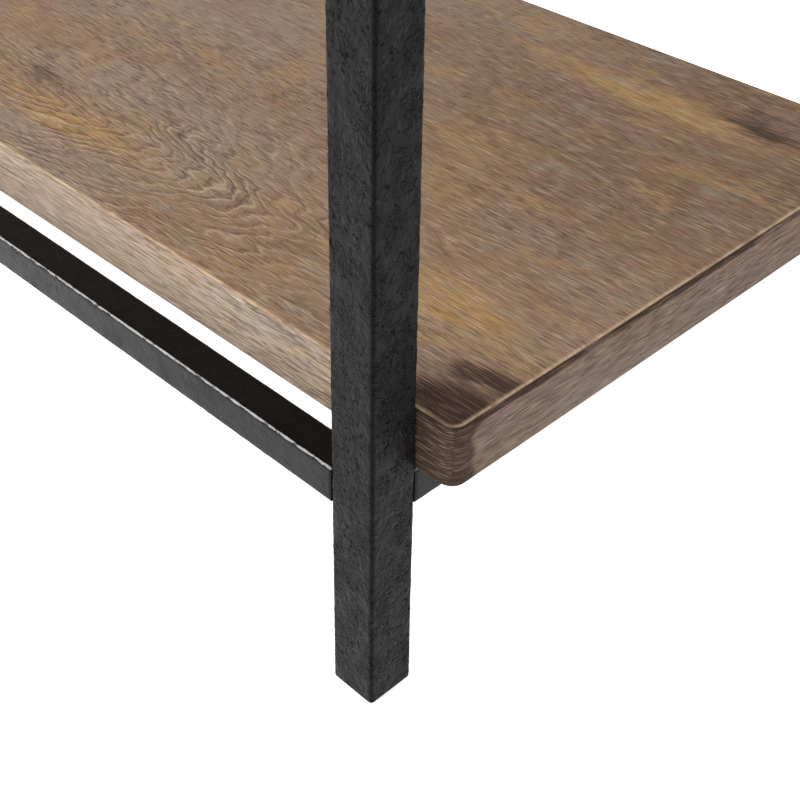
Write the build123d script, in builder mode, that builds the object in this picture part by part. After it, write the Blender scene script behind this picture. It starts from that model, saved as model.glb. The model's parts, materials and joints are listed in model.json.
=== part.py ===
"""Console table: a welded frame of square steel tube, two veneered boards and four levelling feet.

Millimetres. +X runs along the table, -Y is the front, +Z is up. The origin is on the floor,
at the centre of the table's footprint, with all four feet screwed fully in.
"""

import os

from build123d import *

os.makedirs("parts", exist_ok=True)

# Overall sizes
TABLE_LENGTH = 1270.0  # length of both boards
TABLE_DEPTH = 469.9  # depth of the top board
TABLE_HEIGHT = 762.0  # floor to the top face
OVERHANG = 20.7  # the top board past the frame on all sides, the shelf past it at both ends
RAIL_TOP_HEIGHT = 125.0  # the legs' lower ends to the top of the shelf's rails
RIDE_HEIGHT = 5.0  # floor to the legs' lower ends

# Square tubes, welded flush on their outer faces
LEG_WIDTH = 25.4
LEG_WALL = 1.5
LEG_CORNER = 2.0  # outer corner radius
RAIL_WIDTH = 19.05
RAIL_WALL = 1.2
RAIL_CORNER = 1.8
BEAD_SIZE = 3.0  # leg of the fillet welds in the inner corners

# Boards: a core with four mitred lippings, a face veneer over both and a backing veneer below
BOARD_THICKNESS = 31.75
BOARD_CORNER = 7.5  # radius of the vertical corners
TOP_ROUNDING = 3.5
BOTTOM_ROUNDING = 2.0
VENEER = 0.8
LIPPING = 10.0
SHELF_CLEARANCE = 0.3  # shelf's front edge to the front legs' inner faces
SHELF_REAR_GAP = 13.0  # shelf's rear edge to the rear legs' inner faces

# Pan-head screws, driven from below through the rails into the board cores
SCREW_RADIUS = 2.1
SCREW_BITE = 19.0  # depth reached inside a board
SCREW_TIP = 3.0
SCREW_HEAD_RADIUS = 4.1
SCREW_HEAD_HEIGHT = 2.6
SCREW_HEAD_ROUNDING = 0.9
RECESS_LENGTH = 4.4
RECESS_WIDTH = 1.0
RECESS_DEPTH = 1.6
RAIL_HOLE_CLEARANCE = 0.3
SCREW_SPREAD_Y = 120.0  # from the centre line, on the end rails and the cross rails
SCREW_SPREAD_X = 330.0  # from the centre line, on the long upper rails

# Levelling feet: M8 stem, steel nut in a ribbed insert, swivelling pad
STEM_RADIUS = 3.95
STEM_LENGTH = 42.0  # above the head
STEM_CHAMFER = 0.8
STEM_FIT = 0.05  # radial running clearance of the stem in the nut
STEM_HEAD_RADIUS = 6.0
STEM_HEAD_HEIGHT = 2.0
KEY_FLATS = 4.0  # hex key socket under the head
KEY_DEPTH = 3.0
NUT_FLATS = 13.0
NUT_HEIGHT = 6.5
NUT_CHAMFER = 0.5
INSERT_HEIGHT = 20.0
INSERT_RIB_DEPTH = 0.9
INSERT_RIB_HEIGHT = 2.0
INSERT_RIBS = 5
INSERT_BORE_CLEARANCE = 0.35
PAD_RADIUS = 9.0
PAD_HEIGHT = 4.2
PAD_FLOOR = 1.2  # thickness under the stem's head
PAD_EDGE = 0.6  # chamfer at the top and bottom rims
KEY_HOLE_RADIUS = 2.9
HEAD_AXIAL_CLEARANCE = 0.05
HEAD_RADIAL_CLEARANCE = 0.1
NECK_CLEARANCE = 0.2

# Heights and half-spans that follow from the sizes above
top_underside = TABLE_HEIGHT - BOARD_THICKNESS
shelf_underside = RIDE_HEIGHT + RAIL_TOP_HEIGHT
leg_length = top_underside - RIDE_HEIGHT
frame_x = TABLE_LENGTH / 2 - OVERHANG  # outer faces of the legs
frame_y = TABLE_DEPTH / 2 - OVERHANG
leg_x = frame_x - LEG_WIDTH / 2
leg_y = frame_y - LEG_WIDTH / 2
rail_x = frame_x - RAIL_WIDTH / 2
rail_y = frame_y - RAIL_WIDTH / 2
inner_x = frame_x - LEG_WIDTH  # inner faces of the legs
inner_y = frame_y - LEG_WIDTH
rail_inner_x = frame_x - RAIL_WIDTH
rail_inner_y = frame_y - RAIL_WIDTH
leg_bore = LEG_WIDTH - 2 * LEG_WALL
leg_bore_corner = LEG_CORNER - LEG_WALL

CORNERS = {
    "front_left": (-1, -1),
    "front_right": (1, -1),
    "rear_left": (-1, 1),
    "rear_right": (1, 1),
}
ENDS = {"left": -1, "right": 1}
SIDES = {"front": -1, "rear": 1}


def save(piece, name):
    """Label a finished piece and write its STEP file."""
    piece.part.label = name
    export_step(piece.part, f"parts/{name}.step")


def square_tube(plane, width, wall, corner, length):
    """A square tube centred on the plane's normal."""
    with BuildPart() as tube:
        with BuildSketch(plane):
            RectangleRounded(width, width, corner)
            RectangleRounded(width - 2 * wall, width - 2 * wall, corner - wall, mode=Mode.SUBTRACT)
        extrude(amount=length)
    return tube


def rail(plane, length, top, screw_points):
    """A rail with its top face at a given height, drilled through both walls for its screws."""
    blank = square_tube(plane, RAIL_WIDTH, RAIL_WALL, RAIL_CORNER, length)
    if not screw_points:
        return blank
    with BuildPart() as drilled:
        add(blank.part)
        with Locations(*[(x, y, top) for x, y in screw_points]):
            Hole(SCREW_RADIUS + RAIL_HOLE_CLEARANCE, depth=RAIL_WIDTH)
    return drilled


# ---- Legs ----
for corner_name, (sign_x, sign_y) in CORNERS.items():
    leg_foot = Plane.XY.offset(RIDE_HEIGHT).move(Location((sign_x * leg_x, sign_y * leg_y, 0)))
    leg = square_tube(leg_foot, LEG_WIDTH, LEG_WALL, LEG_CORNER, leg_length)
    save(leg, f"leg_{corner_name}")

# ---- Rails: one ring and one cross rail under each board ----
RAIL_TOPS = {"shelf": shelf_underside, "top": top_underside}
LONG_RAIL_SCREWS = {"shelf": [], "top": [-SCREW_SPREAD_X, SCREW_SPREAD_X]}

for board_name, rail_top in RAIL_TOPS.items():
    rail_mid = rail_top - RAIL_WIDTH / 2
    for side_name, sign_y in SIDES.items():
        start = Plane(origin=(-inner_x, sign_y * rail_y, rail_mid), x_dir=(0, 1, 0), z_dir=(1, 0, 0))
        screws_here = [(x, sign_y * rail_y) for x in LONG_RAIL_SCREWS[board_name]]
        long_rail = rail(start, 2 * inner_x, rail_top, screws_here)
        save(long_rail, f"{board_name}_rail_{side_name}")
    for end_name, sign_x in ENDS.items():
        start = Plane(origin=(sign_x * rail_x, -inner_y, rail_mid), x_dir=(1, 0, 0), z_dir=(0, 1, 0))
        screws_here = [(sign_x * rail_x, y) for y in (-SCREW_SPREAD_Y, SCREW_SPREAD_Y)]
        end_rail = rail(start, 2 * inner_y, rail_top, screws_here)
        save(end_rail, f"{board_name}_rail_{end_name}")
    start = Plane(origin=(0, -rail_inner_y, rail_mid), x_dir=(1, 0, 0), z_dir=(0, 1, 0))
    screws_here = [(0, y) for y in (-SCREW_SPREAD_Y, SCREW_SPREAD_Y)]
    cross_rail = rail(start, 2 * rail_inner_y, rail_top, screws_here)
    save(cross_rail, f"{board_name}_cross_rail")

# ---- Fillet welds: upright beads in the inner corners of every tube joint ----
bead_corners = []  # the corner, then the directions of the bead's two legs
for sign_x, sign_y in CORNERS.values():
    bead_corners.append((sign_x * rail_inner_x, sign_y * inner_y, -sign_x, -sign_y))
    bead_corners.append((sign_x * inner_x, sign_y * rail_inner_y, -sign_x, -sign_y))
    bead_corners.append((sign_x * RAIL_WIDTH / 2, sign_y * rail_inner_y, sign_x, -sign_y))

for board_name, rail_top in RAIL_TOPS.items():
    bead_bottom = rail_top - RAIL_WIDTH + RAIL_CORNER
    with BuildPart() as weld_beads:
        with BuildSketch(Plane.XY.offset(bead_bottom)):
            for x, y, step_x, step_y in bead_corners:
                with BuildLine():
                    Polyline(
                        (x, y),
                        (x + step_x * BEAD_SIZE, y),
                        (x, y + step_y * BEAD_SIZE),
                        close=True,
                    )
                make_face()
        extrude(amount=RAIL_WIDTH - 2 * RAIL_CORNER)
    save(weld_beads, f"{board_name}_rail_weld_beads")


# ---- Boards ----
def board(name, underside, front_y, rear_y, screw_points):
    """Save a board's core, veneers and lippings, all cut from one rounded outline."""
    depth = rear_y - front_y
    centre = (0, (front_y + rear_y) / 2)
    half_x = TABLE_LENGTH / 2
    core_x = half_x - LIPPING
    core_front = front_y + LIPPING
    core_rear = rear_y - LIPPING
    core_bottom = underside + VENEER
    core_height = BOARD_THICKNESS - 2 * VENEER

    with BuildPart() as outline:
        with BuildSketch(Plane.XY.offset(underside)):
            with Locations(centre):
                RectangleRounded(TABLE_LENGTH, depth, BOARD_CORNER)
        extrude(amount=BOARD_THICKNESS)
        fillet(outline.faces().sort_by(Axis.Z)[-1].edges(), radius=TOP_ROUNDING)
        fillet(outline.faces().sort_by(Axis.Z)[0].edges(), radius=BOTTOM_ROUNDING)

    with BuildPart() as core:
        with BuildSketch(Plane.XY.offset(core_bottom)):
            with Locations(centre):
                Rectangle(2 * core_x, depth - 2 * LIPPING)
        extrude(amount=core_height)
        with Locations(*[(x, y, core_bottom) for x, y in screw_points]):
            Cylinder(
                SCREW_RADIUS,
                SCREW_BITE - VENEER,
                align=(Align.CENTER, Align.CENTER, Align.MIN),
                mode=Mode.SUBTRACT,
            )
    save(core, f"{name}_core")

    with BuildPart() as face_veneer:
        add(outline.part)
        with BuildSketch(Plane.XY.offset(core_bottom + core_height)):
            with Locations(centre):
                Rectangle(TABLE_LENGTH, depth)
        extrude(amount=VENEER, mode=Mode.INTERSECT)
    save(face_veneer, f"{name}_face_veneer")

    with BuildPart() as backing_veneer:
        add(outline.part)
        with BuildSketch(Plane.XY.offset(underside)):
            with Locations(centre):
                Rectangle(TABLE_LENGTH, depth)
        extrude(amount=VENEER, mode=Mode.INTERSECT)
        with Locations(*[(x, y, core_bottom) for x, y in screw_points]):
            Hole(SCREW_RADIUS, depth=VENEER)
    save(backing_veneer, f"{name}_backing_veneer")

    # Each lipping lies between a board edge and the core, mitred at both ends.
    lippings = {
        "front": [(-half_x, front_y), (half_x, front_y), (core_x, core_front), (-core_x, core_front)],
        "rear": [(-half_x, rear_y), (half_x, rear_y), (core_x, core_rear), (-core_x, core_rear)],
        "left": [(-half_x, front_y), (-half_x, rear_y), (-core_x, core_rear), (-core_x, core_front)],
        "right": [(half_x, front_y), (half_x, rear_y), (core_x, core_rear), (core_x, core_front)],
    }
    for edge_name, points in lippings.items():
        with BuildPart() as lipping:
            add(outline.part)
            with BuildSketch(Plane.XY.offset(core_bottom)):
                with BuildLine():
                    Polyline(*points, close=True)
                make_face()
            extrude(amount=core_height, mode=Mode.INTERSECT)
        save(lipping, f"{name}_lipping_{edge_name}")


end_screws = [(sign_x * rail_x, y) for sign_x in (-1, 1) for y in (-SCREW_SPREAD_Y, SCREW_SPREAD_Y)]
cross_screws = [(0, y) for y in (-SCREW_SPREAD_Y, SCREW_SPREAD_Y)]
long_screws = [(x, sign_y * rail_y) for x in (-SCREW_SPREAD_X, SCREW_SPREAD_X) for sign_y in (-1, 1)]
SCREW_POINTS = {"shelf": end_screws + cross_screws, "top": end_screws + cross_screws + long_screws}

shelf_front = SHELF_CLEARANCE - inner_y
shelf_rear = inner_y - SHELF_REAR_GAP
board("shelf", shelf_underside, shelf_front, shelf_rear, SCREW_POINTS["shelf"])
board("top", top_underside, -TABLE_DEPTH / 2, TABLE_DEPTH / 2, SCREW_POINTS["top"])

# ---- Board screws: one screw with its head's bearing face at the origin, then one group per board ----
shank_length = RAIL_WIDTH + SCREW_BITE

with BuildPart() as screw:
    with BuildSketch(Plane.XY):
        Circle(SCREW_HEAD_RADIUS)
    extrude(amount=-SCREW_HEAD_HEIGHT)
    fillet(screw.edges().sort_by(Axis.Z)[0], radius=SCREW_HEAD_ROUNDING)
    with BuildSketch(Plane.XY):
        Circle(SCREW_RADIUS)
    extrude(amount=shank_length)
    chamfer(screw.edges().sort_by(Axis.Z)[-1], length=SCREW_TIP, length2=SCREW_RADIUS * 0.7)
    with BuildSketch(Plane.XY.offset(-SCREW_HEAD_HEIGHT)):
        Rectangle(RECESS_LENGTH, RECESS_WIDTH)
        Rectangle(RECESS_WIDTH, RECESS_LENGTH)
    extrude(amount=RECESS_DEPTH, mode=Mode.SUBTRACT)

for board_name, rail_top in RAIL_TOPS.items():
    head_seat = rail_top - RAIL_WIDTH
    with BuildPart() as board_screws:
        with Locations(*[(x, y, head_seat) for x, y in SCREW_POINTS[board_name]]):
            add(screw.part)
    save(board_screws, f"{board_name}_screws")

# ---- Levelling feet ----
stem_base = PAD_FLOOR + HEAD_AXIAL_CLEARANCE  # underside of the stem's head
lip_bottom = stem_base + STEM_HEAD_HEIGHT + HEAD_AXIAL_CLEARANCE
insert_top = RIDE_HEIGHT + INSERT_HEIGHT
nut_bottom = insert_top - NUT_HEIGHT
rib_pitch = (INSERT_HEIGHT - INSERT_RIB_HEIGHT) / (INSERT_RIBS - 1)

for corner_name, (sign_x, sign_y) in CORNERS.items():
    foot_x = sign_x * leg_x
    foot_y = sign_y * leg_y

    # A slimmer square body with ribs that fill the leg's bore, and a hex pocket for the nut.
    with BuildPart() as insert:
        with BuildSketch(Plane.XY.offset(RIDE_HEIGHT)):
            with Locations((foot_x, foot_y)):
                Rectangle(leg_bore - 2 * INSERT_RIB_DEPTH, leg_bore - 2 * INSERT_RIB_DEPTH)
        extrude(amount=INSERT_HEIGHT)
        for rib in range(INSERT_RIBS):
            with BuildSketch(Plane.XY.offset(RIDE_HEIGHT + rib * rib_pitch)):
                with Locations((foot_x, foot_y)):
                    RectangleRounded(leg_bore, leg_bore, leg_bore_corner)
            extrude(amount=INSERT_RIB_HEIGHT)
        with BuildSketch(Plane.XY.offset(nut_bottom)):
            with Locations((foot_x, foot_y)):
                RegularPolygon(NUT_FLATS / 2, 6, major_radius=False)
        extrude(amount=NUT_HEIGHT, mode=Mode.SUBTRACT)
        with Locations((foot_x, foot_y, nut_bottom)):
            Hole(STEM_RADIUS + INSERT_BORE_CLEARANCE, depth=INSERT_HEIGHT)
    save(insert, f"foot_insert_{corner_name}")

    with BuildPart() as nut:
        with BuildSketch(Plane.XY.offset(nut_bottom)):
            with Locations((foot_x, foot_y)):
                RegularPolygon(NUT_FLATS / 2, 6, major_radius=False)
                Circle(STEM_RADIUS + STEM_FIT, mode=Mode.SUBTRACT)
        extrude(amount=NUT_HEIGHT)
    save(nut, f"foot_nut_{corner_name}")

    with BuildPart() as stem:
        with BuildSketch(Plane.XY.offset(stem_base)):
            with Locations((foot_x, foot_y)):
                Circle(STEM_HEAD_RADIUS)
        extrude(amount=STEM_HEAD_HEIGHT)
        with BuildSketch(Plane.XY.offset(stem_base + STEM_HEAD_HEIGHT)):
            with Locations((foot_x, foot_y)):
                Circle(STEM_RADIUS)
        extrude(amount=STEM_LENGTH)
        chamfer(stem.edges().sort_by(Axis.Z)[-1], length=STEM_CHAMFER)
        with BuildSketch(Plane.XY.offset(stem_base)):
            with Locations((foot_x, foot_y)):
                RegularPolygon(KEY_FLATS / 2, 6, major_radius=False)
        extrude(amount=KEY_DEPTH, mode=Mode.SUBTRACT)
    save(stem, f"foot_stem_{corner_name}")

    # The pad's half section, turned about the foot's axis: a cup that snaps over the stem's head.
    with BuildPart() as pad:
        with BuildSketch(Plane(origin=(foot_x, foot_y, 0), x_dir=(1, 0, 0), z_dir=(0, -1, 0))):
            with BuildLine():
                Polyline(
                    (KEY_HOLE_RADIUS, 0),
                    (PAD_RADIUS - PAD_EDGE, 0),
                    (PAD_RADIUS, PAD_EDGE),
                    (PAD_RADIUS, PAD_HEIGHT - PAD_EDGE),
                    (PAD_RADIUS - PAD_EDGE, PAD_HEIGHT),
                    (STEM_RADIUS + NECK_CLEARANCE, PAD_HEIGHT),
                    (STEM_RADIUS + NECK_CLEARANCE, lip_bottom),
                    (STEM_HEAD_RADIUS + HEAD_RADIAL_CLEARANCE, lip_bottom),
                    (STEM_HEAD_RADIUS + HEAD_RADIAL_CLEARANCE, PAD_FLOOR),
                    (KEY_HOLE_RADIUS, PAD_FLOOR),
                    close=True,
                )
            make_face()
        revolve(axis=Axis((foot_x, foot_y, 0), (0, 0, 1)))
    save(pad, f"foot_pad_{corner_name}")
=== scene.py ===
import json
import math

import bpy
import numpy as np
from mathutils import Matrix, Vector


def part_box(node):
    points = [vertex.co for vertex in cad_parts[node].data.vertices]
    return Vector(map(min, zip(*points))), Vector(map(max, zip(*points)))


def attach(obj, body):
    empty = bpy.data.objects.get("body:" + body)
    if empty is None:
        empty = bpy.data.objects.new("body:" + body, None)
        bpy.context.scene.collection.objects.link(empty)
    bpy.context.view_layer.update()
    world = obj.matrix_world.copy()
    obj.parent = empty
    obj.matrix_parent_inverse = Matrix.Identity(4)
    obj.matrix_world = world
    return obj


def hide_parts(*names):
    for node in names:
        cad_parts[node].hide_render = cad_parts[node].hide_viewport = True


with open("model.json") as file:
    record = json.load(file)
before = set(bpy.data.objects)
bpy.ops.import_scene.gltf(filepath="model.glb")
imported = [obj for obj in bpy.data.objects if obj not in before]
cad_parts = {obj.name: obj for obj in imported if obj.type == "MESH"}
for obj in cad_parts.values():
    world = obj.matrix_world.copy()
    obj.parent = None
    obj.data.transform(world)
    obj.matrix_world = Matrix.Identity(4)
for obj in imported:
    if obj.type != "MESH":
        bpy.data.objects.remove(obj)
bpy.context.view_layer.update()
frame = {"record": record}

MM = 0.001
AXES = {"x": 0, "y": 1, "z": 2}
CORNERS = ("front_left", "front_right", "rear_left", "rear_right")

# ---------------------------------------------------------------- camera, light and floor
CAMERA_AZIMUTH = 44.563  # degrees: 0 looks along +Y, 90 along -X
CAMERA_ELEVATION = 32.630
CAMERA_ROLL = 0.983
CAMERA_FROM_LEG = Vector((0.31927, -0.31034, 0.52422))  # from the front right leg's lower outer corner
FOCAL_IN_FRAMES = 1.8004  # focal length over the frame's width
SHIFT_Y = -0.17
SENSOR = 36.0

# Softboxes: position and the point aimed at, in metres, then the side and the power in watts.
SOFTBOXES = {
    "key_light": ((-1.3, -2.0, 1.7), (0.4, 0, 0.2), 0.8, 72),
    "front_light": ((0.6, -3.2, 0.9), (0.3, 0, 0.2), 1.8, 34),
    "floor_light": ((1.2, -0.6, 3.4), (1.0, -0.5, 0), 2.4, 38),
    "back_light": ((0.2, 2.8, 1.8), (0, 0, 0.2), 2.0, 30),
}
SURROUND_COLOUR = (0.97, 0.98, 1.0, 1.0)
SURROUND_STRENGTH = 0.74
FLOOR_REACH = 14.0
FLOOR_DROP = 0.0002  # the floor lies just under the pads' soles
FLOOR_GLOW = 0.64  # keeps the floor white under the table, as in a cut-out


def make_camera():
    """The camera looks down past the front right leg, from the height of the leg's upper half."""
    low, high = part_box("leg_front_right")
    corner = Vector((high[0], low[1], low[2]))
    azimuth = math.radians(CAMERA_AZIMUTH)
    elevation = math.radians(CAMERA_ELEVATION)
    roll = math.radians(CAMERA_ROLL)
    back = Vector((
        math.sin(azimuth) * math.cos(elevation),
        -math.cos(azimuth) * math.cos(elevation),
        math.sin(elevation),
    ))
    level_right = Vector((0, 0, 1)).cross(back).normalized()
    level_up = back.cross(level_right)
    right = math.cos(roll) * level_right + math.sin(roll) * level_up
    up = math.cos(roll) * level_up - math.sin(roll) * level_right
    data = bpy.data.cameras.new("camera")
    data.sensor_width = SENSOR
    data.lens = FOCAL_IN_FRAMES * SENSOR
    data.shift_y = SHIFT_Y
    data.clip_start = 0.02
    camera = bpy.data.objects.new("camera", data)
    bpy.context.collection.objects.link(camera)
    camera.matrix_world = Matrix.Translation(corner + CAMERA_FROM_LEG) @ Matrix((
        (right.x, up.x, back.x, 0),
        (right.y, up.y, back.y, 0),
        (right.z, up.z, back.z, 0),
        (0, 0, 0, 1),
    ))
    bpy.context.scene.camera = camera


def area_light(name, position, target, size, power):
    """A square softbox aimed at a point."""
    data = bpy.data.lights.new(name, "AREA")
    data.shape = "SQUARE"
    data.size = size
    data.energy = power
    light = bpy.data.objects.new(name, data)
    bpy.context.collection.objects.link(light)
    light.location = position
    light.rotation_euler = (Vector(target) - Vector(position)).to_track_quat("-Z", "Y").to_euler()


def make_studio():
    """A pale floor, an even pale surround, and softboxes in front, above and behind."""
    world = bpy.data.worlds.new("studio")
    bpy.context.scene.world = world
    world.use_nodes = True
    background = world.node_tree.nodes["Background"]
    background.inputs["Color"].default_value = SURROUND_COLOUR
    background.inputs["Strength"].default_value = SURROUND_STRENGTH
    for name, settings in SOFTBOXES.items():
        area_light(name, *settings)

    mesh = bpy.data.meshes.new("floor")
    signs = ((-1, -1), (1, -1), (1, 1), (-1, 1))
    corners = [(x * FLOOR_REACH, y * FLOOR_REACH, -FLOOR_DROP) for x, y in signs]
    mesh.from_pydata(corners, [], [(0, 1, 2, 3)])
    floor = bpy.data.objects.new("floor", mesh)
    bpy.context.collection.objects.link(floor)
    mesh.materials.append(floor_material())
    bpy.context.scene.view_settings.view_transform = "Standard"


# ---------------------------------------------------------------- material helpers
class Shader:
    """A material's node tree, with short calls to add and link nodes."""

    def __init__(self, name):
        self.material = bpy.data.materials.new(name)
        self.material.use_nodes = True
        self.tree = self.material.node_tree
        self.surface = self.tree.nodes["Principled BSDF"]

    def node(self, kind, inputs=None, **settings):
        """Adds a node. An input given as a socket is linked, and any other value is set."""
        made = self.tree.nodes.new("ShaderNode" + kind)
        for key, value in settings.items():
            setattr(made, key, value)
        for key, value in (inputs or {}).items():
            self.feed(made.inputs[key], value)
        return made

    def feed(self, socket, value):
        """Links a socket into another, or sets its value."""
        if isinstance(value, bpy.types.NodeSocket):
            self.tree.links.new(value, socket)
        else:
            socket.default_value = value

    def math(self, operation, first, second=0.0, third=0.0):
        made = self.node("Math", {0: first, 1: second, 2: third}, operation=operation)
        return made.outputs[0]

    def ramp(self, value, low, high, to_low=0.0, to_high=1.0, smooth=True):
        """The value's stretch from low to high, mapped to to_low..to_high and held there."""
        made = self.node(
            "MapRange",
            {"Value": value, "From Min": low, "From Max": high, "To Min": to_low, "To Max": to_high},
            interpolation_type="SMOOTHSTEP" if smooth else "LINEAR",
        )
        return made.outputs["Result"]

    def mix(self, factor, first, second, blend="MIX"):
        made = self.node("Mix", data_type="RGBA", blend_type=blend)
        self.feed(made.inputs["Factor"], factor)
        self.feed(made.inputs[6], first)
        self.feed(made.inputs[7], second)
        return made.outputs[2]

    def place(self, scale, shift=(0, 0, 0)):
        """Object coordinates in metres, scaled to noise cells. The shift picks another part of a noise."""
        coordinates = self.node("TexCoord").outputs["Object"]
        return self.node("Mapping", {"Vector": coordinates, "Scale": scale, "Location": shift}).outputs[0]

    def grain(self, along, across, shift=(0, 0, 0)):
        """The mesh's own way along and across the grain in metres, scaled to noise cells."""
        way = self.node("Attribute", attribute_name="grain").outputs["Vector"]
        scale = (along, across, across)
        return self.node("Mapping", {"Vector": way, "Scale": scale, "Location": shift}).outputs[0]

    def noise(self, vector, detail=2.0, roughness=0.5, distortion=0.0):
        """Noise with cells one unit of the vector wide."""
        settings = {"Scale": 1.0, "Detail": detail, "Roughness": roughness, "Distortion": distortion}
        return self.node("TexNoise", {"Vector": vector, **settings}).outputs["Fac"]

    def attribute(self, name):
        """A number that the mesh carries at each of its points."""
        return self.node("Attribute", attribute_name=name).outputs["Fac"]

    def bump(self, height, distance):
        return self.node("Bump", {"Height": height, "Distance": distance}).outputs["Normal"]

    def finish(self, **inputs):
        """Sets or links the surface's own inputs, and returns the material."""
        for name, value in inputs.items():
            self.feed(self.surface.inputs[name.replace("_", " ")], value)
        return self.material


def srgb(red, green, blue):
    """A colour given in 0-255 display values, as linear light."""
    linear = []
    for value in (red, green, blue):
        value = value / 255
        linear.append(value / 12.92 if value <= 0.04045 else ((value + 0.055) / 1.055) ** 2.4)
    return (*linear, 1.0)


# ---------------------------------------------------------------- materials
def floor_material():
    shader = Shader("pale_floor")
    speckle = shader.noise(shader.place((3, 3, 3)), detail=3)
    colour = shader.mix(speckle, (0.89, 0.89, 0.89, 1), (0.92, 0.92, 0.92, 1))
    return shader.finish(
        Base_Color=colour,
        Roughness=0.9,
        Emission_Color=(1.0, 1.0, 1.0, 1.0),
        Emission_Strength=FLOOR_GLOW,
    )


def oak_material(name, shift, colours, contrast=1.0):
    """Wire-brushed, weathered oak: embossed growth rings, open pores, pale fibres and stained patches."""
    shader = Shader(name)

    # The mesh carries the count of growth rings. Brushing cuts a groove on one side of each line.
    fray = shader.noise(shader.grain(70, 330, shift), detail=3, roughness=0.6)
    level = shader.math("MULTIPLY_ADD", fray, 0.8, shader.attribute("rings"))
    ring = shader.math("FRACT", level)
    patchy = shader.noise(shader.grain(18, 60, shift), detail=3)
    broken_figure = shader.ramp(patchy, 0.35, 0.55, 0.35, 1.0)
    strength = shader.math("MULTIPLY", shader.attribute("figure"), broken_figure)
    strength = shader.math("MULTIPLY_ADD", shader.ramp(patchy, 0.45, 0.68), 0.4, strength)
    groove = shader.math("MULTIPLY", shader.ramp(ring, 0.0, 0.14), shader.ramp(ring, 0.36, 0.18))
    groove = shader.math("MULTIPLY", groove, strength)
    crest = shader.math("MULTIPLY", shader.ramp(ring, 0.32, 0.45), shader.ramp(ring, 0.65, 0.5))
    crest = shader.math("MULTIPLY", crest, strength)

    # Brushing leaves pale raised fibres and dark open pores, both in dashes along the grain.
    fibre = shader.noise(shader.grain(40, 1250, shift), detail=3, roughness=0.7)
    dashes = shader.noise(shader.grain(80, 1500, shift), detail=2, roughness=0.55)
    open_pores = shader.ramp(dashes, 0.54, 0.61)
    pale = shader.noise(shader.grain(65, 1350, (9, 4, 1)), detail=2, roughness=0.55)
    pale_fibre = shader.ramp(pale, 0.54, 0.61)
    calm = shader.noise(shader.grain(5, 16, (2, 7, 3)), detail=2)
    pore_strength = shader.ramp(calm, 0.4, 0.6, 0.28 * contrast, 0.62 * contrast)

    # Stain lies in patches drawn out along the grain, and in bands that follow the growth rings.
    broad = shader.noise(shader.grain(3.2, 8, shift), detail=3, roughness=0.55, distortion=0.6)
    cloud = shader.noise(shader.grain(12, 34, shift), detail=4, roughness=0.6, distortion=0.5)
    small = shader.noise(shader.grain(24, 80, shift), detail=3, roughness=0.6)
    along = shader.node("SeparateXYZ", {0: shader.grain(11, 11, shift)}).outputs["X"]
    bands_at = shader.node("CombineXYZ", {0: shader.math("MULTIPLY", level, 0.45), 1: along}).outputs[0]
    bands = shader.noise(bands_at, detail=4, roughness=0.6)

    colour = shader.mix(shader.ramp(broad, 0.4, 0.6), colours["cool"], colours["warm"])
    colour = shader.mix(shader.attribute("browner_near_ends"), colour, colours["end_brown"])
    golden = shader.math("MULTIPLY_ADD", shader.ramp(cloud, 0.56, 0.7), 0.4, shader.attribute("golden"))
    golden = shader.math("MULTIPLY_ADD", shader.ramp(bands, 0.53, 0.66), 0.4, golden)
    golden = shader.math("MINIMUM", golden, 0.85)
    colour = shader.mix(golden, colour, colours["gold"])
    plum = shader.math("MULTIPLY", shader.ramp(bands, 0.46, 0.34), 0.55)
    colour = shader.mix(plum, colour, colours["plum"])
    green = shader.math("MULTIPLY", shader.ramp(small, 0.54, 0.68), 0.5)
    colour = shader.mix(green, colour, colours["grey"])
    brown = shader.math("MULTIPLY", shader.ramp(small, 0.45, 0.32), 0.35)
    colour = shader.mix(brown, colour, colours["brown"])
    colour = shader.mix(shader.math("MULTIPLY", groove, 0.26 * contrast), colour, colours["pore"])
    # Painted highlight: the crest beside each groove is painted paler.
    colour = shader.mix(shader.math("MULTIPLY", crest, 0.4 * contrast), colour, colours["streak_and_highlight"])
    shade = shader.ramp(fibre, 0.3, 0.7, 1 - 0.22 * contrast, 1 + 0.22 * contrast, smooth=False)
    shade_colour = shader.node("CombineColor", {0: shade, 1: shade, 2: shade}).outputs[0]
    colour = shader.mix(1.0, colour, shade_colour, "MULTIPLY")
    colour = shader.mix(shader.math("MULTIPLY", pale_fibre, 0.4 * contrast), colour, colours["streak_and_highlight"])
    colour = shader.mix(shader.math("MULTIPLY", open_pores, pore_strength), colour, colours["pore"])

    # The mesh carries stain, and painted shade near the corners and under the rounding, and the worn arris
    # with its painted highlight.
    ragged = shader.math("MULTIPLY_ADD", cloud, 1.1, shader.math("MULTIPLY_ADD", fibre, 1.3, -2.0))
    ragged = shader.math("MULTIPLY_ADD", small, 1.6, ragged)
    stain_and_shade = shader.math("MULTIPLY_ADD", ragged, 0.9, shader.attribute("stain_and_shade"))
    stain_and_shade = shader.math("MULTIPLY", shader.ramp(stain_and_shade, 0.42, 1.0), 0.93)
    stain_and_shade_colour = shader.mix(pale_fibre, colours["stain_and_shade"], colours["brown"])
    colour = shader.mix(stain_and_shade, colour, stain_and_shade_colour)
    # The worn arris also carries a painted highlight, in the arris colour.
    broken = shader.noise(shader.place((60, 60, 60), shift), detail=4, roughness=0.7)
    wear_and_highlight = shader.math("MULTIPLY", shader.attribute("wear_and_highlight"), shader.ramp(broken, 0.36, 0.58, 0.3, 0.85))
    colour = shader.mix(wear_and_highlight, colour, colours["arris"])

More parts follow.
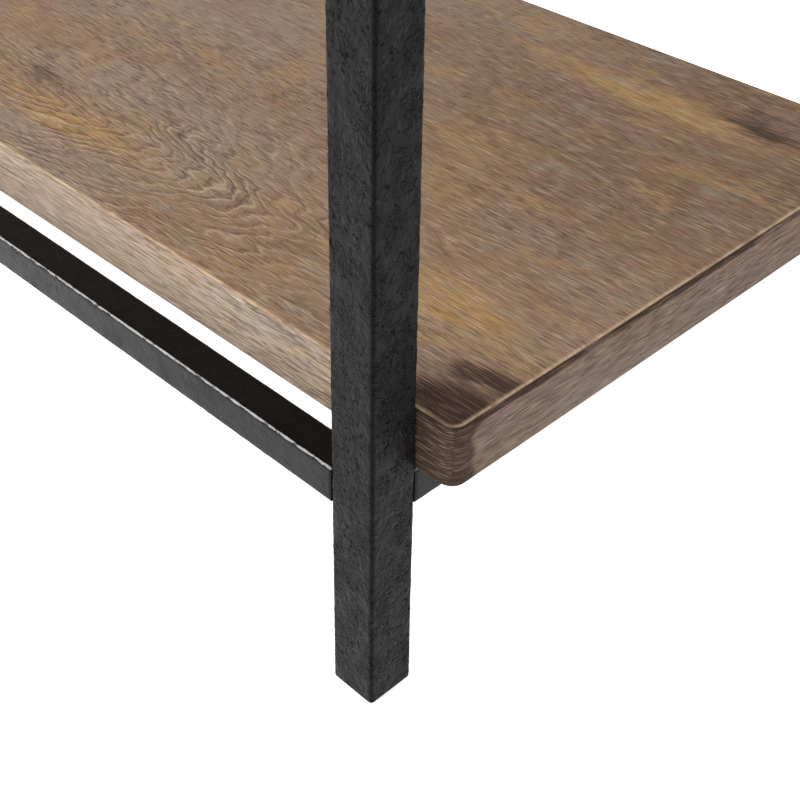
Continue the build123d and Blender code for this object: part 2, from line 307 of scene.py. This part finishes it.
    height = shader.math("MULTIPLY_ADD", groove, -1.5, shader.math("MULTIPLY", fibre, 0.7))
    height = shader.math("MULTIPLY_ADD", crest, 0.5, height)
    height = shader.math("MULTIPLY_ADD", open_pores, -0.35, height)
    height = shader.math("MULTIPLY_ADD", pale_fibre, 0.2, height)
    normal = shader.bump(height, 0.6 * MM)
    rough = shader.ramp(fibre, 0.25, 0.75, 0.6, 0.8, smooth=False)
    return shader.finish(Base_Color=colour, Roughness=rough, Normal=normal, Specular_IOR_Level=0.15)


# Painted shade for the pits and for a leg's corners and a rail's top, and a painted highlight grey for a
# rail's outer edge.
PIT_SHADE_BLACK = (0.002, 0.002, 0.002, 1)
SHADOW_BLACK = (0.003, 0.0027, 0.003, 1)
HIGHLIGHT_GREY = (0.26, 0.255, 0.25, 1)


def hammered_material(name, base, ridge_highlight, hollow, bump_depth, roughness, specular):
    """Black hammered lacquer: worm-like ridges and pits over the relief of the mesh itself."""
    shader = Shader(name)
    warp = shader.noise(shader.place((110, 110, 80)), detail=2)
    wrinkle = shader.noise(shader.place((260, 260, 190)), detail=1.5, roughness=0.5, distortion=0.9)
    ridge = shader.math("ABSOLUTE", shader.math("SUBTRACT", wrinkle, 0.5))
    ridge = shader.math("MULTIPLY", shader.ramp(ridge, 0.0, 0.06, 1.0, 0.0), shader.ramp(warp, 0.42, 0.56))
    pit = shader.ramp(shader.noise(shader.place((380, 380, 380), (3, 1, 7)), detail=1), 0.66, 0.72)
    blur = shader.noise(shader.place((70, 70, 70), (1, 8, 2)), detail=3)

    relief = shader.attribute("relief")
    # Painted highlight: the ridges and the raised parts of the mesh's relief are painted lighter.
    tone = shader.math("MULTIPLY_ADD", ridge, 0.4, shader.math("MULTIPLY", relief, 0.3))
    colour = shader.mix(shader.ramp(blur, 0.3, 0.7), base, hollow)
    colour = shader.mix(tone, colour, ridge_highlight)
    # Painted shade: the pits are darkened to near black.
    colour = shader.mix(shader.math("MULTIPLY", pit, 0.85), colour, PIT_SHADE_BLACK)
    # Painted shade: a leg's rounded corners and a rail's top are darkened to near black.
    shadow = shader.attribute("shadow")
    colour = shader.mix(shader.math("MULTIPLY", shadow, 0.95), colour, SHADOW_BLACK)

    # On a rail's upper outer edge a painted highlight runs as a ragged light grey line.
    highlight_breakup = shader.noise(shader.place((190, 420, 420)), detail=5, roughness=0.7)
    painted_highlight = shader.math("MULTIPLY_ADD", highlight_breakup, 1.8, shader.attribute("painted_highlight"))
    painted_highlight = shader.ramp(painted_highlight, 1.66, 1.9)
    colour = shader.mix(painted_highlight, colour, HIGHLIGHT_GREY)

    height = shader.math("MULTIPLY_ADD", ridge, 0.45, shader.math("MULTIPLY", wrinkle, 0.25))
    height = shader.math("MULTIPLY_ADD", pit, -0.6, height)
    dust = shader.noise(shader.place((1500, 1500, 1500)), detail=2)
    height = shader.math("MULTIPLY_ADD", dust, 0.03, height)
    normal = shader.bump(height, bump_depth * MM)
    dull = shader.math("MULTIPLY_ADD", pit, 0.3, warp)
    rough = shader.ramp(dull, 0.3, 0.8, roughness, roughness + 0.2)
    return shader.finish(Base_Color=colour, Roughness=rough, Normal=normal, Specular_IOR_Level=specular)


def plain_wood_material(name, light, dark, scale, depth):
    """Board core and backing: fine fibres with a low contrast."""
    shader = Shader(name)
    fibre = shader.noise(shader.place(scale), detail=5, roughness=0.65)
    broad = shader.noise(shader.place((9, 30, 30)), detail=2)
    blend = shader.math("MULTIPLY_ADD", broad, 0.5, shader.math("MULTIPLY", fibre, 0.6))
    colour = shader.mix(shader.ramp(blend, 0.35, 0.75), dark, light)
    normal = shader.bump(fibre, depth * MM)
    return shader.finish(Base_Color=colour, Roughness=0.7, Normal=normal)


def metal_material(name, light, dark, metallic, rough_low, rough_high, lines):
    """Plated or blackened steel with turning lines and faint blotches."""
    shader = Shader(name)
    blotch = shader.noise(shader.place((240, 240, 240)), detail=4, roughness=0.65)
    turning = shader.noise(shader.place((60, 60, lines)), detail=2)
    colour = shader.mix(shader.ramp(blotch, 0.35, 0.7), dark, light)
    height = shader.math("MULTIPLY_ADD", turning, 0.6, shader.math("MULTIPLY", blotch, 0.4))
    normal = shader.bump(height, 0.04 * MM)
    rough = shader.ramp(blotch, 0.3, 0.7, rough_low, rough_high)
    return shader.finish(Base_Color=colour, Roughness=rough, Normal=normal, Metallic=metallic)


def nylon_material(name):
    """Moulded black nylon with a fine spark-eroded texture and rubbed spots."""
    shader = Shader(name)
    grit = shader.noise(shader.place((2600, 2600, 2600)), detail=3, roughness=0.7)
    rub = shader.noise(shader.place((130, 130, 130)), detail=3)
    colour = shader.mix(shader.ramp(rub, 0.45, 0.75), (0.012, 0.012, 0.013, 1), (0.04, 0.04, 0.042, 1))
    normal = shader.bump(grit, 0.05 * MM)
    rough = shader.ramp(rub, 0.3, 0.7, 0.42, 0.6)
    return shader.finish(Base_Color=colour, Roughness=rough, Normal=normal)


# ---------------------------------------------------------------- mesh helpers
def box_in_mm(node):
    """A CAD node's box, as two arrays in millimetres."""
    low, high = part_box(node)
    return np.array(low) / MM, np.array(high) / MM


def take_place(piece, node):
    """Puts a piece on the frame in a CAD node's place, and hides the CAD node."""
    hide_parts(node)
    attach(piece, "frame")


def gradient_noise(across, along, period, seed):
    """Smooth 2-D noise, about -0.7 to 0.7, that repeats after a whole number of cells across."""
    rows = 4096
    angles = np.random.default_rng(seed).random((period, rows)) * 2 * math.pi
    left = np.floor(across).astype(int)
    below = np.floor(along).astype(int)
    part_across = across - left
    part_along = along - below

    def corner(step_across, step_along):
        angle = angles[(left + step_across) % period, (below + step_along) % rows]
        return np.cos(angle) * (part_across - step_across) + np.sin(angle) * (part_along - step_along)

    ease_across = part_across ** 3 * (part_across * (6 * part_across - 15) + 10)
    ease_along = part_along ** 3 * (part_along * (6 * part_along - 15) + 10)
    low = corner(0, 0) * (1 - ease_across) + corner(1, 0) * ease_across
    high = corner(0, 1) * (1 - ease_across) + corner(1, 1) * ease_across
    return low * (1 - ease_along) + high * ease_along


def smoothstep(low, high, value):
    """Rises smoothly from 0 at low to 1 at high."""
    part = np.clip((value - low) / (high - low), 0, 1)
    return part * part * (3 - 2 * part)


def rounded_square(width, corner, spacing):
    """Points and outward normals around a rounded square, with extra points in the corners."""
    half = width / 2 - corner
    arc_steps = 6
    side_steps = max(2, round(2 * half / spacing))
    points, normals = [], []
    for quarter in range(4):
        start = quarter * math.pi / 2
        outward = np.array((math.cos(start), math.sin(start)))
        tangent = np.array((-outward[1], outward[0]))
        for step in range(side_steps):
            reach = -half + 2 * half * step / side_steps
            points.append(outward * width / 2 + tangent * reach)
            normals.append(outward)
        centre = outward * half + tangent * half
        for step in range(arc_steps):
            angle = start + math.pi / 2 * step / arc_steps
            direction = np.array((math.cos(angle), math.sin(angle)))
            points.append(centre + direction * corner)
            normals.append(direction)
    return np.array(points), np.array(normals)


def band_faces(first_ring, second_ring):
    """Quads between two closed rings of vertex numbers."""
    return np.stack(
        (first_ring, np.roll(first_ring, -1), np.roll(second_ring, -1), second_ring), axis=1
    )


def mesh_object(name, points, faces, attributes, material):
    """A smooth-shaded object from arrays of points, faces and per-point values."""
    mesh = bpy.data.meshes.new(name)
    mesh.from_pydata(points.tolist(), [], [list(map(int, face)) for face in faces])
    mesh.polygons.foreach_set("use_smooth", np.ones(len(mesh.polygons), dtype=bool))
    for label, values in attributes.items():
        values = np.asarray(values, dtype=np.float32)
        kind, field = ("FLOAT_VECTOR", "vector") if values.ndim == 2 else ("FLOAT", "value")
        layer = mesh.attributes.new(label, kind, "POINT")
        layer.data.foreach_set(field, values.reshape(-1))
    mesh.materials.append(material)
    mesh.update()
    made = bpy.data.objects.new(name, mesh)
    bpy.context.collection.objects.link(made)
    return made


# ---------------------------------------------------------------- tubes
SAWN_EDGE = 0.35  # rounding of a tube's sawn ends, in millimetres

# Wall, outer corner radius and mesh spacing in millimetres, and the strength of the hammered relief.
LEG_TUBE = {"wall": 1.5, "corner": 2.0, "spacing": 1.0, "strength": 0.6}
RAIL_TUBE = {"wall": 1.2, "corner": 1.8, "spacing": 1.5, "strength": 0.25}


def hammer_relief(across, along, turn, strength, seed):
    """Wrinkles, dents and pits in millimetres, and a tone from 0 to 1 that paints a highlight on the
    ridges and dents but not in the pits.

    Across and along are in millimetres, and the tube is turn millimetres round.
    """
    slow = gradient_noise(across / turn * 9, along / 13.0, 9, seed)
    drift = gradient_noise(across / turn * 14, along / 8.0, 14, seed + 1)
    worm_cells = max(4, round(turn / 3.4))
    worm = gradient_noise(
        across / turn * worm_cells + drift * 1.5, along / 4.6 + slow * 1.3, worm_cells, seed + 2
    )
    ridges = smoothstep(0.16, 0.0, np.abs(worm)) * smoothstep(-0.25, 0.15, slow)
    dent_cells = max(4, round(turn / 5.2))
    dents = gradient_noise(across / turn * dent_cells, along / 6.0, dent_cells, seed + 3)
    pit_cells = max(6, round(turn / 2.6))
    pitting = gradient_noise(across / turn * pit_cells, along / 3.2, pit_cells, seed + 4)
    pits = smoothstep(0.3, 0.48, pitting)
    height = strength * (0.26 * ridges + 0.3 * dents - 0.42 * pits)
    tone = np.clip(0.8 * ridges + 0.35 * dents - 0.7 * pits, 0, 1)
    return height, tone


def make_tube(node, axis, wall, corner, spacing, strength, seed, material):
    """A tube with a hammered outer skin, open ends and a plain bore, in a CAD tube's place."""
    low, high = box_in_mm(node)
    along_axis = AXES[axis]
    side_axes = [number for number in range(3) if number != along_axis]
    width = (high - low)[side_axes[0]]
    centre = (low + high) / 2
    length = (high - low)[along_axis]

    ring, normals = rounded_square(width, corner, spacing)
    count = len(ring)
    around = np.cumsum(np.linalg.norm(ring - np.roll(ring, 1, axis=0), axis=1))
    plain_length = np.linspace(SAWN_EDGE, length - SAWN_EDGE, round(length / spacing))
    stations = np.concatenate(([0], plain_length, [length]))
    grid_around, grid_along = np.meshgrid(around, stations)
    relief, tone = hammer_relief(grid_around, grid_along, around[-1], strength, seed)
    relief = relief * smoothstep(0, 3, grid_along) * smoothstep(0, 3, length - grid_along)
    relief[0] = -SAWN_EDGE
    relief[-1] = -SAWN_EDGE

    points = np.zeros((len(stations) + 2, count, 3))
    for side, axis_number in enumerate(side_axes):
        points[:-2, :, axis_number] = centre[axis_number] + ring[:, side] + normals[:, side] * relief
        points[-2:, :, axis_number] = centre[axis_number] + ring[:, side] - normals[:, side] * wall
    points[:-2, :, along_axis] = low[along_axis] + grid_along
    points[-2, :, along_axis] = low[along_axis]
    points[-1, :, along_axis] = high[along_axis]

    rings = np.arange(points.size // 3).reshape(-1, count)
    last = len(stations) - 1
    order = [*range(last + 1), last + 2, last + 1, 0]  # up the outside, down the bore, back to the start
    faces = np.concatenate([band_faces(rings[a], rings[b]) for a, b in zip(order[:-1], order[1:])])
    if along_axis == 1:  # X and Z, in that order, turn the other way round Y
        faces = faces[:, ::-1]

    # Painted shade darkens a leg's corners and the top of a rail, and a painted highlight runs along a
    # rail's outer top edge.
    outward = np.sign(centre[side_axes[0]])
    if along_axis == 2:
        shadow = smoothstep(0.3, 0.9, np.abs(normals[:, 0] * normals[:, 1]) * 2)
        painted_highlight = np.zeros(count)
    else:
        shadow = smoothstep(0.75, 1.0, normals[:, 1])
        painted_highlight = smoothstep(0.1, 0.5, normals[:, 0] * outward) * smoothstep(0.2, 0.6, normals[:, 1])
    tones = np.zeros((len(rings), count))
    tones[: len(stations)] = tone
    attributes = {
        "relief": tones.reshape(-1),
        "shadow": np.tile(shadow, len(rings)),
        "painted_highlight": np.tile(painted_highlight, len(rings)),
    }
    piece = mesh_object(node + "_skin", points.reshape(-1, 3) * MM, faces, attributes, material)
    take_place(piece, node)


# ---------------------------------------------------------------- boards
# Sizes in millimetres.
BOARD_CORNER = 7.5
TOP_ROUNDING = 3.5
BOTTOM_ROUNDING = 2.0
ARC_STEPS = 8  # steps in each rounded corner of a board's outline
FACE_SPACING = (5.0, 1.5)  # the face veneer's mesh along and across the grain
LIPPING_SPACING = 1.6
FACE_GRAIN_AT = 2000  # where in the noise the grain of a face is read
EDGE_GRAIN_AT = (3000, 500)  # and of a lipping, along and across

# Where the face veneers show nested tongues of grain: their middle along and across, half length and
# half width, all in millimetres from the board's middle.
FIGURES = {
    "shelf": (370, -128, 170, 62),
    "top": (-160, 40, 260, 70),
}

# Golden patches and dark ones on the face veneers, in the same terms.
GOLDEN_PATCHES = (
    (566, -118, 36, 17),
    (300, -136, 60, 12),
    (520, 122, 70, 13),
    (-420, 60, 110, 16),
    (-90, -60, 90, 14),
)
DARK_PATCHES = (
    (580, 136, 70, 30),
    (252, -118, 44, 13),
    (-300, -110, 80, 14),
)


def patch_strength(along, across, patches):
    """How far each point lies inside the nearest of some soft oval patches, from 0 to 1."""
    strength = np.zeros_like(along)
    for middle_along, middle_across, half_length, half_width in patches:
        reach = ((along - middle_along) / half_length) ** 2 + ((across - middle_across) / half_width) ** 2
        strength = np.maximum(strength, np.exp(-reach))
    return strength


def edge_inset(depth_from_top, thickness):
    """How far the edge's rounding draws the outline in, at a depth below the top face."""
    if depth_from_top < TOP_ROUNDING:
        rise = TOP_ROUNDING - depth_from_top
        return TOP_ROUNDING - math.sqrt(max(0.0, TOP_ROUNDING ** 2 - rise ** 2))
    height = thickness - depth_from_top
    if height < BOTTOM_ROUNDING:
        drop = BOTTOM_ROUNDING - height
        return BOTTOM_ROUNDING - math.sqrt(max(0.0, BOTTOM_ROUNDING ** 2 - drop ** 2))
    return 0.0


def ring_count(along, across, seed, figure):
    """Growth rings counted across the grain, and how strongly the board is figured there.

    The rings run along the grain. In a figure they close into tongues that point along the board.
    """
    period = 512
    slow = gradient_noise(across / 40.0, along / 220.0, period, seed)
    waver = gradient_noise(across / 14.0, along / 45.0, period, seed + 1)
    jag = gradient_noise(across / 6.0, along / 11.0, period, seed + 2)
    if figure is None:
        return 0.28 * across + 2.0 * slow + 0.6 * waver, np.zeros_like(across)
    middle_along, middle_across, half_length, half_width = figure
    away = np.hypot(across - middle_across, 5.0)
    spread = np.exp(-((across - middle_across) / (1.6 * half_width)) ** 2)
    progress = smoothstep(-1.5 * half_length, 1.5 * half_length, along - middle_along)
    count = 0.09 * away + 9.0 * (1 - np.exp(-away / 90.0)) + 20.0 * progress * spread
    strength = np.exp(
        -((along - middle_along) / half_length) ** 2 - ((across - middle_across) / half_width) ** 2
    )
    count += 3.0 * slow + (0.5 + 1.4 * strength) * waver + (0.15 + 0.45 * strength) * jag
    return count, strength


def grain_relief(along, across, seed):
    """Brushed grain in millimetres: long open grooves between raised fibres."""
    period = 512
    groove = smoothstep(0.12, 0.4, gradient_noise(across / 1.9, along / 16.0, period, seed + 2))
    fine = gradient_noise(across / 3.1, along / 38.0, period, seed + 3)
    return 0.06 * fine - 0.1 * groove


def field_outline(numbers):
    """The boundary of a grid of points, counter-clockwise, with each corner repeated for its arc.

    Gives the points' numbers and the direction of the rim at each, as an angle.
    """
    boundary, angles = [], []
    sides = (
        (numbers[:, -1], 0.0),
        (numbers[-1, ::-1], math.pi / 2),
        (numbers[::-1, 0], math.pi),
        (numbers[0, :], 1.5 * math.pi),
    )
    for side_numbers, angle in sides:
        for number in side_numbers:
            boundary.append(number)
            angles.append(angle)
        for step in range(1, ARC_STEPS):
            boundary.append(side_numbers[-1])
            angles.append(angle + math.pi / 2 * step / ARC_STEPS)
    return np.array(boundary), np.array(angles)


def rim_profile(rim_inset, veneer):
    """Rings round the field: inset, depth below the top face, and the arris's wear with its painted
    highlight.
    """
    profile = [(TOP_ROUNDING + 0.9, 0.0, 0.0), (TOP_ROUNDING, 0.0, 0.0)]
    for tilt, wear_and_highlight in ((16, 0.35), (27, 1.0), (36, 0.5)):
        sine = math.sin(math.radians(tilt))
        cosine = math.cos(math.radians(tilt))
        profile.append((TOP_ROUNDING * (1 - sine), TOP_ROUNDING * (1 - cosine), wear_and_highlight))
    profile.append((rim_inset, veneer, 0.0))
    return profile


def rim_faces(inner, outer):
    """Faces between two rings of vertex numbers, with triangles where the inner one repeats a vertex."""
    faces = []
    for a, b, c, d in band_faces(inner, outer):
        corners = []
        for vertex in (a, d, c, b):
            if vertex not in corners:
                corners.append(vertex)
        if len(corners) > 2:
            faces.append(corners)
    return faces


def face_attributes(points, board, half_x, half_y, seed):
    """What a face veneer's points carry for its material. They are measured from the board's middle."""
    along, across = points[:, 0], points[:, 1]
    to_end = half_x - np.abs(along)
    to_side = half_y - np.abs(across)
    to_front = across + half_y
    # Painted shade darkens the front corners beside the legs; stain lies in dark patches, and the face is
    # darker along both long edges.
    stain_and_shade = smoothstep(66, 6, np.hypot(to_end - 12, to_front - 14))
    stain_and_shade += 0.75 * patch_strength(along, across, DARK_PATCHES)
    stain_and_shade += 0.3 * smoothstep(24, 0, to_side) * smoothstep(420, 60, to_end)
    rings, figure = ring_count(along, across, seed + 7, FIGURES[board])
    return {
        "grain": points * (MM, MM, 0),
        "rings": rings,
        "figure": figure,
        "stain_and_shade": stain_and_shade,
        # Browner towards the ends, most towards the back.
        "browner_near_ends": smoothstep(420, 60, to_end) * (0.35 + 0.65 * smoothstep(60, 300, to_front)),
        "golden": 1.4 * patch_strength(along, across, GOLDEN_PATCHES),
    }


def make_face_veneer(board, seed, material):
    """The face veneer: a brushed field that rolls over into the rounded rim."""
    node = board + "_face_veneer"
    low, high = box_in_mm(node)
    veneer = (high - low)[2]
    rim_inset = edge_inset(veneer, math.inf)  # the veneer ends within the top rounding
    half_x = (high - low)[0] / 2 + rim_inset
    half_y = (high - low)[1] / 2 + rim_inset
    top = high[2]
    field_x = half_x - BOARD_CORNER
    field_y = half_y - BOARD_CORNER
    columns = np.linspace(-field_x, field_x, round(2 * field_x / FACE_SPACING[0]) + 1)
    rows = np.linspace(-field_y, field_y, round(2 * field_y / FACE_SPACING[1]) + 1)
    mesh_x, mesh_y = np.meshgrid(columns, rows)
    relief = grain_relief(mesh_x + FACE_GRAIN_AT, mesh_y + FACE_GRAIN_AT, seed)
    field = np.stack((mesh_x, mesh_y, top + relief), axis=2).reshape(-1, 3)
    numbers = np.arange(len(field)).reshape(len(rows), len(columns))
    quads = np.stack(
        (numbers[:-1, :-1], numbers[:-1, 1:], numbers[1:, 1:], numbers[1:, :-1]), axis=2
    ).reshape(-1, 4)

    boundary, angles = field_outline(numbers)
    anchor = field[boundary]
    direction = np.stack((np.cos(angles), np.sin(angles)), axis=1)
    loops = [boundary]
    points = [field]
    wear_and_highlight = [np.zeros(len(field))]
    start = len(field)
    for inset, depth, wear_and_highlight_here in rim_profile(rim_inset, veneer):
        ring_points = np.empty((len(boundary), 3))
        ring_points[:, :2] = anchor[:, :2] + direction * (BOARD_CORNER - inset)
        lift = grain_relief(ring_points[:, 0] + FACE_GRAIN_AT, ring_points[:, 1] + FACE_GRAIN_AT, seed)
        ring_points[:, 2] = top - depth + lift * (inset > TOP_ROUNDING)
        points.append(ring_points)
        wear_and_highlight.append(np.full(len(boundary), wear_and_highlight_here))
        loops.append(np.arange(start, start + len(boundary)))
        start += len(boundary)

    faces = [list(quad) for quad in quads]
    for inner, outer in zip(loops[:-1], loops[1:]):
        faces.extend(rim_faces(inner, outer))
    faces.append(list(loops[-1][::-1]))
    points = np.concatenate(points)
    attributes = face_attributes(points, board, half_x, half_y, seed)
    attributes["wear_and_highlight"] = np.concatenate(wear_and_highlight)
    points[:, 0] += (low[0] + high[0]) / 2
    points[:, 1] += (low[1] + high[1]) / 2
    piece = mesh_object(node + "_brushed", points * MM, faces, attributes, material)
    take_place(piece, node)


def lipping_stations(straight):
    """Half a corner arc, the straight run and half a corner arc: each station's angle and place."""
    arc = np.linspace(-math.pi / 4, 0, ARC_STEPS // 2 + 1)[:-1]
    run = np.linspace(-straight, straight, round(2 * straight / LIPPING_SPACING) + 1)
    angle = np.concatenate((arc, np.zeros(len(run)), -arc[::-1]))
    base = np.concatenate((np.full(len(arc), -straight), run, np.full(len(arc), straight)))
    return angle, base


def lipping_depths(start, end, thickness):
    """Depths below the board's top face, from start to end, closer together on the roundings."""
    lower_rounding = thickness - BOTTOM_ROUNDING
    return np.concatenate((
        start + (TOP_ROUNDING - start) * np.array((0.0, 0.3, 0.65)),
        np.linspace(TOP_ROUNDING, lower_rounding, 19),
        lower_rounding + (end - lower_rounding) * np.array((0.4, 0.75, 1.0)),
    ))


def lipping_stain_and_shade(on_end, depth, from_bottom, from_corner):
    """Painted shade lies under the top rounding and near the corners, and the edge is darker along the
    bottom.
    """
    stain_and_shade = (0.8 if on_end else 0.15) * smoothstep(4.8, 2.8, depth)
    stain_and_shade += 0.5 * smoothstep(4.0, 0, from_bottom)
    reach = 20 if on_end else 44
    return stain_and_shade + 1.55 * smoothstep(reach, reach / 6, from_corner)


def with_bore(values):
    """Adds a value of 0 for each of a section's two hidden inner points."""
    shape = (values.shape[0], 2, *values.shape[2:])
    return np.concatenate((values, np.zeros(shape)), axis=1).reshape(-1, *values.shape[2:])


def make_lipping(board, edge, seed, material):
    """A mitred lipping with rounded edges and brushed grain along its length."""
    node = f"{board}_lipping_{edge}"
    veneer_low, veneer_high = box_in_mm(board + "_face_veneer")
    core_low, core_high = box_in_mm(board + "_core")
    bottom = box_in_mm(board + "_backing_veneer")[0][2]
    top = veneer_high[2]
    thickness = top - bottom
    rim_inset = edge_inset(top - veneer_low[2], thickness)
    half_x = (veneer_high - veneer_low)[0] / 2 + rim_inset
    half_y = (veneer_high - veneer_low)[1] / 2 + rim_inset
    core_x, core_y = (core_high - core_low)[:2] / 2
    quarters = {"right": 0.0, "rear": 0.5, "left": 1.0, "front": 1.5}
    facing = quarters[edge] * math.pi
    outward = np.round(np.array((math.cos(facing), math.sin(facing))))
    tangent = np.array((-outward[1], outward[0]))
    on_end = edge in ("left", "right")
    half_out, half_along = (half_x, half_y) if on_end else (half_y, half_x)
    core_out, core_along = (core_x, core_y) if on_end else (core_y, core_x)

    station_angle, station_base = lipping_stations(half_along - BOARD_CORNER)
    depths = lipping_depths(top - core_high[2], top - core_low[2], thickness)
    insets = np.array([edge_inset(depth, thickness) for depth in depths])
    angle_grid, depth_grid = np.meshgrid(station_angle, depths, indexing="ij")
    base_grid = np.meshgrid(station_base, depths, indexing="ij")[0]
    relief = grain_relief(base_grid + EDGE_GRAIN_AT[0], depth_grid + EDGE_GRAIN_AT[1], seed)
    relief *= smoothstep(0, 2.0, depth_grid - depths[0]) * smoothstep(0, 1.5, depths[-1] - depth_grid)
    relief *= smoothstep(math.pi / 4, math.pi / 8, np.abs(angle_grid))  # the mitred ends meet exactly
    reach = BOARD_CORNER - insets[None, :] + relief
    out = (half_out - BOARD_CORNER) + reach * np.cos(angle_grid)
    along = base_grid + reach * np.sin(angle_grid)
    outer = np.empty((*out.shape, 3))
    outer[:, :, :2] = out[:, :, None] * outward + along[:, :, None] * tangent
    outer[:, :, 2] = top - depth_grid

    inner_along = np.where(station_angle == 0, station_base, np.sign(station_angle) * core_along)
    inner_along = np.clip(inner_along, -core_along, core_along)
    inner = np.empty((len(station_base), 2, 3))
    inner[:, :, :2] = (core_out * outward + inner_along[:, None] * tangent)[:, None, :]
    inner[:, 0, 2] = core_low[2]
    inner[:, 1, 2] = core_high[2]
    sections = np.concatenate((outer, inner), axis=1)
    count = sections.shape[1]
    numbers = np.arange(sections.shape[0] * count).reshape(-1, count)
    faces = [list(face) for a, b in zip(numbers[:-1], numbers[1:]) for face in band_faces(a, b)]
    faces.append(list(numbers[0][::-1]))
    faces.append(list(numbers[-1]))
    points = sections.reshape(-1, 3).copy()
    points[:, 0] += (core_low[0] + core_high[0]) / 2
    points[:, 1] += (core_low[1] + core_high[1]) / 2

    # The way along the grain runs round the corners.
    arc_length = base_grid + BOARD_CORNER * angle_grid
    rings = ring_count(arc_length + EDGE_GRAIN_AT[0], depth_grid + EDGE_GRAIN_AT[1], seed + 5, None)[0]
    grain = np.stack((arc_length * MM, depth_grid * MM, np.full_like(arc_length, 0.1 * seed)), axis=2)
    stain_and_shade = lipping_stain_and_shade(on_end, depth_grid, thickness - depth_grid, half_along - np.abs(along))
    attributes = {"stain_and_shade": with_bore(stain_and_shade), "rings": with_bore(rings), "grain": with_bore(grain)}
    piece = mesh_object(node + "_brushed", points * MM, faces, attributes, material)
    take_place(piece, node)


# ---------------------------------------------------------------- build
make_camera()
make_studio()

# Paint colours as linear light, then the bump's depth in millimetres.
leg_paint = hammered_material(
    "hammered_leg_paint",
    base=(0.0112, 0.0102, 0.0103, 1),
    ridge_highlight=(0.024, 0.0225, 0.0228, 1),
    hollow=(0.0068, 0.0061, 0.0063, 1),
    bump_depth=2.6,
    roughness=0.3,
    specular=0.05,
)
rail_paint = hammered_material(
    "hammered_rail_paint",
    base=(0.0062, 0.006, 0.006, 1),
    ridge_highlight=(0.0085, 0.0082, 0.0082, 1),
    hollow=(0.005, 0.0048, 0.0048, 1),
    bump_depth=0.15,
    roughness=0.26,
    specular=0.11,
)

FACE_COLOURS = {
    "cool": srgb(140, 120, 104),
    "warm": srgb(136, 109, 86),
    "end_brown": srgb(108, 82, 60),
    "gold": srgb(156, 122, 76),
    "plum": srgb(126, 98, 91),
    "grey": srgb(124, 117, 102),
    "brown": srgb(92, 68, 50),
    "pore": srgb(52, 36, 27),
    "streak_and_highlight": srgb(184, 162, 134),
    "stain_and_shade": srgb(46, 30, 20),
    "arris": srgb(194, 170, 138),
}
LONG_EDGE_COLOURS = {
    **FACE_COLOURS,
    "cool": srgb(138, 127, 118),
    "warm": srgb(142, 124, 106),
    "gold": srgb(146, 120, 88),
    "plum": srgb(124, 108, 102),
    "grey": srgb(134, 126, 114),
    "brown": srgb(104, 86, 70),
    "streak_and_highlight": srgb(188, 172, 152),
}
# Painted shade: the end lippings take darker colours than the long edges.
SHADED_END_EDGE_COLOURS = {
    **FACE_COLOURS,
    "cool": srgb(112, 97, 86),
    "warm": srgb(110, 88, 73),
    "gold": srgb(116, 92, 66),
    "plum": srgb(98, 78, 70),
    "grey": srgb(116, 104, 92),
    "brown": srgb(80, 61, 48),
    "streak_and_highlight": srgb(160, 142, 122),
}

# Each piece has a seed of its own for its relief and grain.
for number, corner in enumerate(CORNERS):
    make_tube(f"leg_{corner}", "z", seed=10 * number + 1, material=leg_paint, **LEG_TUBE)
for number, board in enumerate(("shelf", "top")):
    base_seed = 100 * (number + 1)
    rails = (("rail_front", "x", 0), ("rail_rear", "x", 10))
    rails += (("rail_left", "y", 40), ("rail_right", "y", 50), ("cross_rail", "y", 70))
    for rail, axis, step in rails:
        make_tube(f"{board}_{rail}", axis, seed=base_seed + step, material=rail_paint, **RAIL_TUBE)

    face = oak_material(f"{board}_oak_face", (3.7 * number, 5.1 * number, 0), FACE_COLOURS)
    make_face_veneer(board, base_seed + 80, face)
    long_edge = oak_material(
        f"{board}_oak_long_edge", (1.3 + number, 2.2, 0.4), LONG_EDGE_COLOURS, contrast=0.95
    )
    shaded_end_edge = oak_material(
        f"{board}_oak_shaded_end_edge", (2.1 + number, 4.4, 0.9), SHADED_END_EDGE_COLOURS, contrast=1.1
    )
    for step, edge in enumerate(("front", "rear", "left", "right")):
        edge_oak = long_edge if edge in ("front", "rear") else shaded_end_edge
        make_lipping(board, edge, base_seed + 90 + step, edge_oak)

core_board = plain_wood_material(
    "board_core", light=srgb(176, 148, 112), dark=srgb(150, 122, 88), scale=(900, 900, 900), depth=0.05
)
backing = plain_wood_material(
    "backing_veneer", light=srgb(150, 124, 98), dark=srgb(112, 88, 66), scale=(30, 900, 900), depth=0.1
)
black_steel = metal_material(
    "black_screw_steel",
    light=(0.05, 0.05, 0.052, 1),
    dark=(0.02, 0.02, 0.021, 1),
    metallic=0.7,
    rough_low=0.35,
    rough_high=0.55,
    lines=900,
)
zinc = metal_material(
    "zinc_plate",
    light=(0.72, 0.73, 0.74, 1),
    dark=(0.5, 0.51, 0.53, 1),
    metallic=1.0,
    rough_low=0.22,
    rough_high=0.42,
    lines=1600,
)
nylon = nylon_material("black_nylon")

# Nodes that keep their CAD shape take the material of their slot.
SLOT_MATERIALS = {
    "hammered_black_steel": leg_paint,
    "oak_backing": backing,
    "board_core": core_board,
    "black_screw_steel": black_steel,
    "zinc_plated_steel": zinc,
    "black_nylon": nylon,
}
for entry in frame["record"]["subparts"]:
    material = SLOT_MATERIALS.get(entry["material_slot"])
    cad_object = bpy.data.objects.get(entry["node"])
    if material is not None and cad_object is not None:
        for slot in cad_object.material_slots:
            slot.material = material
